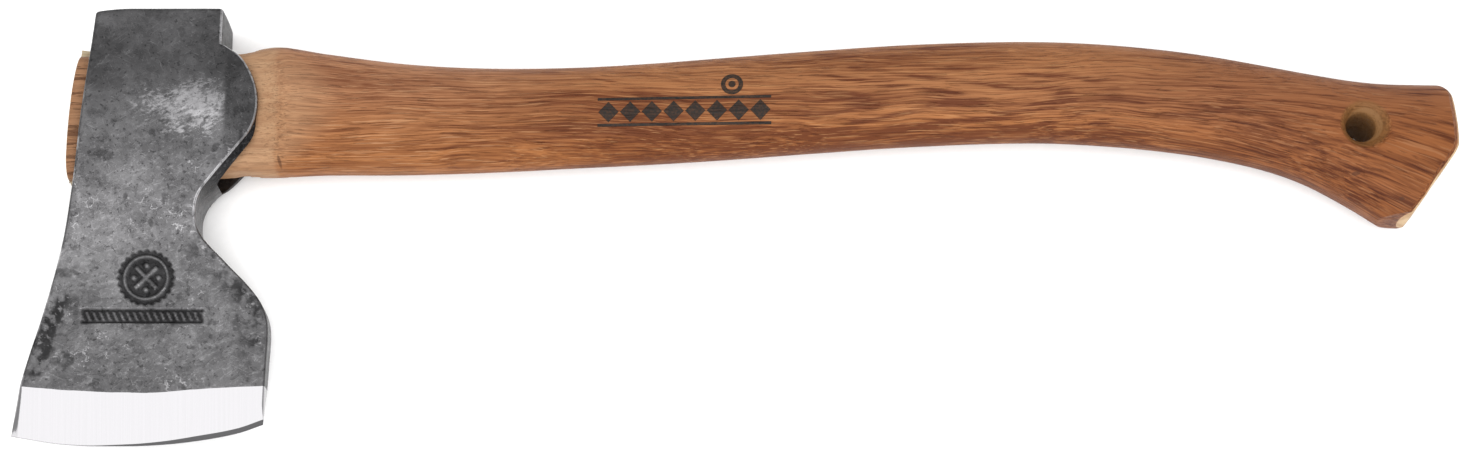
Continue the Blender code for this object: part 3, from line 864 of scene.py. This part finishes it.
def make_handle():
    angle = 2 * np.pi * np.arange(AROUND) / AROUND
    tongue = meet_end(TONGUE_END, angle, -38.0, 0.0)
    knob = meet_end(KNOB_END, angle, 400.0, 479.0)
    knob_y, _ = handle_surface(knob, angle)
    chamfer = end_curve(KNOB_CHAMFER, knob_y)
    start = tongue + TONGUE_CHAMFER
    end = knob - chamfer
    share = np.linspace(0.0, 1.0, 26)[:, None]
    x_tongue = start * (1 - share) + NECK_X * share
    x_neck = np.linspace(NECK_X, GRIP_X, 60)[1:, None] + 0 * angle
    x_grip = np.linspace(GRIP_X, KNOB_X, 300)[1:, None] + 0 * angle
    share = np.linspace(0.0, 1.0, 66)[1:, None]
    x_knob = KNOB_X * (1 - share) + end * share
    x = np.vstack([x_tongue, x_neck, x_grip, x_knob])
    y, z = handle_body(x, np.broadcast_to(angle, x.shape))

    shell = Shell()
    index = shell.add(x, y, z)
    shell.fill(grid_faces(np.hstack([index, index[:, :1]])))
    end_cap(shell, index[0], TONGUE_END, angle, tongue, start, TONGUE_CHAMFER)
    end_cap(shell, index[-1], KNOB_END, angle, knob, end, chamfer)
    materials = [wood_material(end_grain) for end_grain in (False, True)]
    handle = add_object("hickory_handle", shell.mesh("hickory_handle"), materials)
    cut_away(handle, [hole_cutter(), kerf_cutter(), tube_object("ring_groove", GAP)])
    finish_piece(handle, "handle", 38)


def lathe(name, profile, sides, centre):
    """Closed body turned about z; profile is a list of (z, radius, x and y off the centre)."""
    shell = Shell()
    profile = np.array(profile, float)
    turn = 2 * np.pi * np.arange(sides) / sides
    x = centre[0] + profile[:, 1:2] * np.cos(turn) + profile[:, 2:3]
    y = centre[1] + profile[:, 1:2] * np.sin(turn) + profile[:, 3:4]
    index = shell.add(x, y, profile[:, :1])
    shell.fill(grid_faces(np.hstack([index, index[:, :1]])))
    shell.fill([index[0].tolist(), index[-1].tolist()])
    return add_object(name, shell.mesh(name))


def hole_cutter():
    """Hole drilled from both sides, a little out of line, with a worn countersink at each end."""
    slope = (SINK_END_RADIUS - HOLE_RADIUS) / (SINK_END_Z - SINK_START_Z)
    near, far = SINK_START_Z, FAR_SINK_START_Z
    off_x, off_y = FAR_SHIFT
    profile = [(-SINK_END_Z, FAR_RADIUS + (SINK_END_Z - far) * slope, off_x, off_y),
               (-far, FAR_RADIUS, off_x, off_y), (2.0, HOLE_RADIUS, 0.0, 0.0),
               (near - 0.7, HOLE_RADIUS, 0.0, 0.0)]
    for rise, wider, share in ((-0.2, 0.15, 0.1), (0.4, 0.5 * slope, 0.3), (1.4, 1.5 * slope, 0.7),
                               (2.6, 2.8 * slope, 1.0)):
        profile.append((near + rise, HOLE_RADIUS + wider, share * SINK_SHIFT[0], share * SINK_SHIFT[1]))
    profile.append((SINK_END_Z, SINK_END_RADIUS + 1.2, *SINK_SHIFT))
    return lathe("hanging_hole", profile, 96, HOLE_CENTRE)


def kerf_cutter():
    """Tapered saw cut in the tongue, a little larger than the wedge all round."""
    slope = (WEDGE_FRONT_HALF - WEDGE_TIP_HALF) / (WEDGE_TIP_X - WEDGE_FRONT_X)
    up = np.array([1.0, -1.0, -1.0, 1.0]) * KERF_HALF_HEIGHT
    side = np.array([1.0, 1.0, -1.0, -1.0])
    shell = Shell()
    corners = []
    for x in (WEDGE_FRONT_X - CUTTER_OVERRUN, KERF_TIP_X):
        half = WEDGE_TIP_HALF + slope * (WEDGE_TIP_X - x) + GAP
        corners.append(shell.add(x, up, side * half))
    index = np.array(corners)
    shell.fill(grid_faces(np.hstack([index, index[:, :1]])))
    shell.fill([index[0].tolist(), index[1].tolist()])
    return add_object("kerf", shell.mesh("kerf"))


def tube_object(name, grow, soft=0.0, materials=()):
    """Thick tube along x about the ring wedge's axis, with its lips rounded by a small radius."""
    x_front = RING_FRONT_X - (CUTTER_OVERRUN if grow else 0.0)
    x_back = RING_BACK_X + grow
    outer, inner = RING_OUTER_RADIUS + grow, RING_INNER_RADIUS - grow
    if soft:
        profile = [(x_front, outer - soft), (x_front + soft * 0.3, outer - soft * 0.3),
                   (x_front + soft, outer),
                   (x_back - soft, outer), (x_back, outer - soft), (x_back, inner + soft),
                   (x_back - soft, inner), (x_front + soft, inner),
                   (x_front + soft * 0.3, inner + soft * 0.3), (x_front, inner + soft)]
    else:
        profile = [(x_front, outer), (x_back, outer), (x_back, inner), (x_front, inner)]
    profile = np.array(profile)
    turn = 2 * np.pi * np.arange(64) / 64
    shell = Shell()
    radius = profile[:, 1:]
    index = shell.add(profile[:, :1], RING_CENTRE_Y + radius * np.cos(turn), radius * np.sin(turn))
    index = np.vstack([index, index[:1]])
    shell.fill(grid_faces(np.hstack([index, index[:, :1]])))
    return add_object(name, shell.mesh(name), materials)


def knot(g, dx, dy, centre, size):
    """Mask of a small dark oval at a place on the drawing, in millimetres."""
    across = g.mul(g.sub(dx, centre[0] * MM), 1 / (size[0] * MM))
    up = g.mul(g.sub(dy, centre[1] * MM), 1 / (size[1] * MM))
    return g.remap(g.add(g.mul(across, across), g.mul(up, up)), 1.5, 0.4)


def wood_material(end_grain):
    """Oiled hickory as a solid: growth figure, dark and pale fibres along x, and short pores, with painted
    shade on the lower side and in the hanging hole.
    """
    material, g, shader = new_material("hickory_end" if end_grain else "hickory")
    p = g.position()
    x, y, z = g.split(p)
    dx, dy, dz = (g.sub(value, origin * MM) for value, origin in zip((x, y, z), ORIGIN))

    # The grain runs out along the drooping underside of the knob.
    droop = g.ramp(dx, 0.345, 0.480, 0.0, 0.040)
    droop = g.mul(droop, g.ramp(dy, 0.012, -0.040))
    wander = g.sub(g.strands(p, (11.0, 24.0, 24.0), detail=3.0), 0.5)
    wander = g.mul(wander, g.remap(dx, 0.35, 0.43, 0.012, 0.004))
    grain_y = g.add(y, droop, wander)
    q = g.join(x, grain_y, z)

    broad = g.strands(q, (9.0, 70.0, 70.0), detail=3.0)
    streak = g.strands(q, (8.0, 380.0, 380.0), detail=5.0, roughness=0.62)
    fibre = g.strands(q, (20.0, 1250.0, 1250.0), detail=4.0, roughness=0.62)
    fine = g.strands(q, (60.0, 2800.0, 2800.0), detail=3.0, roughness=0.6)
    dark_pores = g.remap(g.strands(q, (75.0, 2300.0, 2300.0), detail=3.0), 0.585, 0.65)
    pale_pores = g.remap(g.noise(g.shift(g.stretch(q, (60.0, 2300.0, 2300.0)), (3.0, 8.0, 1.0)), 1.0,
                                 detail=3.0), 0.585, 0.65)

    # Growth lines: nested arches, strongest halfway along the grip.
    ripple = g.strands(q, (24.0, 110.0, 110.0), detail=4.0, roughness=0.55)
    off_y = g.mul(g.sub(grain_y, (ORIGIN.y + 6.0) * MM), 1000.0)
    off_z = g.mul(dz, 620.0)
    reach = g.math("SQRT", g.add(g.mul(off_y, off_y), g.mul(off_z, off_z), 12.0))
    figure = g.add(reach, g.mul(dx, 85.0), g.mul(g.sub(ripple, 0.5), 4.5))
    wave = g.math("SINE", g.mul(figure, 2 * math.pi / 2.9))
    rings = g.math("POWER", g.ramp(wave, -1.0, 1.0), 2.6)
    rings = g.mul(rings, g.remap(fibre, 0.36, 0.58, 0.25, 1.0))
    arches = g.mul(g.remap(dx, 0.225, 0.262), g.remap(dx, 0.352, 0.325), g.remap(dy, 0.020, 0.012))
    patchy = g.remap(g.strands(p, (14.0, 40.0, 40.0), detail=2.0), 0.48, 0.62)
    rings = g.mul(rings, g.add(0.05, g.mul(arches, 0.42), g.mul(patchy, 0.15)))

    # Painted shade: the wood turns darker and more saturated towards the handle's lower side, at -y.
    shaded_low_side = g.remap(dy, 0.014, -0.014)
    band = g.strands(q, (6.0, 48.0, 48.0))
    shade = g.add(g.ramp(streak, 0.30, 0.70, 0.0, 0.32), g.ramp(fibre, 0.38, 0.62, 0.0, 0.30),
                  g.ramp(fine, 0.38, 0.62, 0.0, 0.24), g.ramp(broad, 0.32, 0.68, 0.0, 0.18), rings,
                  g.mul(shaded_low_side, g.remap(dx, 0.06, 0.14, 0.10, 0.18)), g.mul(g.sub(band, 0.5), 0.75))
    shade = g.sub(shade, g.remap(dx, 0.06, 0.14, 0.52, 0.565))
    shade = g.add(g.mul(shade, g.remap(dx, 0.10, 0.22, 1.45, 2.20)), 0.37)
    light = g.mix(shaded_low_side, (0.335, 0.153, 0.073), (0.345, 0.138, 0.045))
    deep = g.mix(shaded_low_side, (0.118, 0.034, 0.0125), (0.118, 0.032, 0.0062))
    colour = g.mix(shade, light, deep)
    colour = g.mix(g.mul(dark_pores, 0.40), colour, (0.060, 0.013, 0.005))
    colour = g.mix(g.mul(pale_pores, 0.38), colour, (0.50, 0.28, 0.145))
    colour = g.tint(g.remap(dx, 0.09, 0.17), colour, (0.87, 0.78, 0.62))
    colour = g.tint(g.remap(dx, 0.30, 0.41), colour, (0.74, 0.68, 0.72))

    rough_line = g.mul(g.sub(g.noise(p, 90.0, detail=4.0), 0.5), 0.005)
    edge = g.add(dx, rough_line)
    bulge = g.math("POWER", g.math("ABSOLUTE", g.mul(g.sub(dy, 0.003), 1 / 0.018)), 2.0)
    crescent = g.add(edge, g.mul(bulge, 0.011))
    shaved = g.remap(edge, 0.0445, 0.0420)
    faded = g.remap(crescent, 0.0700, 0.0500)
    pale = g.mix(g.remap(streak, 0.3, 0.75), (0.43, 0.272, 0.155), (0.325, 0.182, 0.098))
    pale = g.mix(g.mul(g.remap(fine, 0.45, 0.7), 0.35), pale, (0.24, 0.115, 0.055))
    colour = g.mix(g.mul(faded, 0.45), colour, pale)
    colour = g.mix(g.mul(shaved, 0.52), colour, pale)
    colour = g.tint(g.remap(dx, -0.018, -0.026), colour, (0.74, 0.66, 0.62))
    # Painted shade inside the hanging hole and over its countersink.
    bored = g.hypot(g.sub(dx, (HOLE_CENTRE[0] + SINK_SHIFT[0]) * MM),
                    g.sub(dy, (HOLE_CENTRE[1] + SINK_SHIFT[1]) * MM))
    colour = g.mix(g.remap(bored, 0.0096, 0.0078, 0.0, 0.55), colour, (0.150, 0.076, 0.022))
    colour = g.mix(g.remap(bored, 0.0068, 0.0060), colour, (0.20, 0.098, 0.036))
    cracks = g.remap(g.strands(p, (60.0, 900.0, 900.0), detail=4.0), 0.53, 0.62)
    cracks = g.mul(cracks, g.remap(dx, -0.022, -0.026))
    marks = knot(g, g.add(dx, g.mul(dy, 0.25)), dy, (40.6, -17.4), (0.6, 2.0))
    for centre, size in (((430.6, -23.2), (1.5, 0.7)), ((446.5, -32.6), (0.9, 0.7))):
        marks = g.most(marks, knot(g, dx, dy, centre, size))
    colour = g.mix(g.mul(g.most(cracks, marks), 0.62), colour, (0.055, 0.018, 0.007))
    if end_grain:
        pores = g.remap(g.cells(g.stretch(p, (60.0, 1250.0, 1250.0)), 1.0), 0.30, 0.16)
        arcs = g.math("SINE", g.add(g.mul(reach, 2 * math.pi / 2.3), g.mul(ripple, 9.0)))
        raw = g.mix(g.remap(arcs, -1.0, 1.0), (0.60, 0.44, 0.26), (0.46, 0.295, 0.155))
        raw = g.mix(g.mul(pores, 0.5), raw, (0.16, 0.072, 0.032))
        colour = g.mix(0.8, colour, raw)
    else:
        mark = ornament(g, x, y, z)
        charred = g.remap(g.noise(p, 1200.0, detail=3.0), 0.3, 0.7, 0.84, 1.0)
        colour = g.mix(g.mul(mark, charred), colour, (0.014, 0.012, 0.010))
    colour = g.tint(1.0, colour, (0.885, 0.885, 0.885))
    g.link(colour, shader.inputs["Base Color"])
    g.link(g.ramp(fibre, 0.3, 0.7, 0.46, 0.62), shader.inputs["Roughness"])
    shader.inputs["Specular IOR Level"].default_value = 0.15
    relief = g.sub(g.add(g.mul(fibre, 0.5), g.mul(fine, 0.3)), g.mul(dark_pores, 0.6))
    relief = g.sub(relief, g.mul(cracks, 1.5))
    if not end_grain:
        relief = g.sub(relief, g.mul(mark, 0.8))
    g.link(g.bump(relief, 0.00018), shader.inputs["Normal"])
    return material


def ornament(g, x, y, z):
    """A burned ornament on the near side: a row of lozenges between two rules, and a ring above it."""
    dx = g.sub(x, (ORIGIN.x + ORNAMENT_CENTRE[0]) * MM)
    dy = g.sub(y, (ORIGIN.y + ORNAMENT_CENTRE[1]) * MM)
    dy = g.sub(dy, g.mul(dx, 0.02))
    pitch, half_row = 0.0078, 0.0312
    cell = g.math("PINGPONG", g.add(dx, 12.5 * pitch), pitch / 2)
    diamond = g.add(g.mul(cell, 1 / (pitch * 0.47)), g.mul(g.math("ABSOLUTE", dy), 1 / 0.0038))
    inside = g.remap(diamond, 1.03, 0.97)
    rules = g.remap(g.math("ABSOLUTE", g.sub(g.math("ABSOLUTE", dy), 0.0048)), 0.0006, 0.00045)
    row = g.most(inside, rules)
    row = g.mul(row, g.remap(g.math("ABSOLUTE", dx), half_row + 0.0001, half_row - 0.0001))
    rx, ry = g.sub(dx, 0.0171), g.sub(dy, 0.0098)
    radius = g.hypot(rx, ry)
    ring = g.remap(g.math("ABSOLUTE", g.sub(radius, 0.0032)), 0.0009, 0.0007)
    dot = g.remap(radius, 0.0014, 0.0012)
    mark = g.most(row, ring, dot)
    return g.mul(mark, g.remap(z, ORIGIN.z * MM, (ORIGIN.z + 2.0) * MM))


# ---- wedges


def make_wooden_wedge():
    """A sawn wedge with a broken front end, whose fibres stand up unevenly."""
    shell = Shell()
    along = np.linspace(0.0, 1.0, 40)
    across = np.linspace(0.0, 1.0, 80)
    thick = np.linspace(-1.0, 1.0, 9)

    def place(s, t, w):
        top = WEDGE_TOP[0] + (WEDGE_TOP[1] - WEDGE_TOP[0]) * s
        bottom = WEDGE_BOTTOM[0] + (WEDGE_BOTTOM[1] - WEDGE_BOTTOM[0]) * s
        y = top + (bottom - top) * t
        ragged = 0.35 * noise(y, w * 2.4 + 7.0, 1.3, 31.0, 2)
        ragged = ragged + 0.5 * step(t, 0.97, 1.0) * noise(y, w, 0.6, 5.0, 1)
        front = WEDGE_FRONT_X - WEDGE_FRONT_SLANT * t + ragged
        x = front + (WEDGE_TIP_X - front) * s
        half = WEDGE_FRONT_HALF + (WEDGE_TIP_HALF - WEDGE_FRONT_HALF) * s
        return x, y, (half - 0.03 + 0.03 * noise(y * 2, x, 3.0, 12.0, 1)) * w

    s, t = np.meshgrid(along, across, indexing="ij")
    sides = [shell.add(*place(s, t, w)) for w in (1.0, -1.0)]
    for index in sides:
        shell.fill(grid_faces(index))
    long_sides = []
    for t_end, column in ((0.0, 0), (1.0, -1)):
        s_grid, w_grid = np.meshgrid(along, thick[1:-1], indexing="ij")
        body = shell.add(*place(s_grid, t_end, w_grid))
        long_sides.append(np.hstack([sides[1][:, column][:, None], body, sides[0][:, column][:, None]]))
        shell.fill(grid_faces(long_sides[-1]))
    for s_end, row in ((0.0, 0), (1.0, -1)):
        t_grid, w_grid = np.meshgrid(across[1:-1], thick[1:-1], indexing="ij")
        body = shell.add(*place(s_end, t_grid, w_grid))
        middle = np.hstack([sides[1][row, 1:-1][:, None], body, sides[0][row, 1:-1][:, None]])
        index = np.vstack([long_sides[0][row][None, :], middle, long_sides[1][row][None, :]])
        shell.fill(grid_faces(index))
    wedge = add_object("sawn_wedge", shell.mesh("sawn_wedge"), [wedge_material()])
    cut_away(wedge, [tube_object("wedge_groove", GAP)])
    finish_piece(wedge, "wooden_wedge", 38)


def wedge_material():
    material, g, shader = new_material("raw_wood")
    p = g.position()
    fibre = g.strands(p, (70.0, 2200.0, 2200.0), detail=4.0, roughness=0.6)
    band = g.strands(p, (20.0, 500.0, 500.0), detail=3.0)
    shade = g.add(g.mul(g.remap(fibre, 0.3, 0.7), 0.5), g.mul(g.remap(band, 0.3, 0.7), 0.5))
    colour = g.mix(shade, (0.46, 0.39, 0.275), (0.335, 0.24, 0.135))
    g.link(colour, shader.inputs["Base Color"])
    g.link(g.remap(fibre, 0.3, 0.7, 0.6, 0.8), shader.inputs["Roughness"])
    shader.inputs["Specular IOR Level"].default_value = 0.3
    g.link(g.bump(fibre, 0.0003), shader.inputs["Normal"])
    return material


def make_ring_wedge():
    ring = tube_object("steel_ring", 0.0, soft=0.35, materials=[ring_material()])
    finish_piece(ring, "ring_wedge", 50)


def ring_material():
    material, g, shader = new_material("ring_steel")
    p = g.position()
    drawn = g.strands(p, (80.0, 3000.0, 3000.0), detail=3.0)
    spots = g.remap(g.noise(p, 700.0, detail=4.0), 0.56, 0.66)
    level = g.sub(g.remap(drawn, 0.3, 0.7, 0.34, 0.50), g.mul(spots, 0.2))
    g.link(g.grey(level, (1.0, 0.98, 0.96)), shader.inputs["Base Color"])
    shader.inputs["Metallic"].default_value = 1.0
    g.link(g.add(g.remap(drawn, 0.3, 0.7, 0.3, 0.42), g.mul(spots, 0.15)), shader.inputs["Roughness"])
    g.link(g.bump(drawn, 0.0001), shader.inputs["Normal"])
    return material


# ---- everything

add_camera()
add_studio()
make_head()
make_handle()
make_wooden_wedge()
make_ring_wedge()
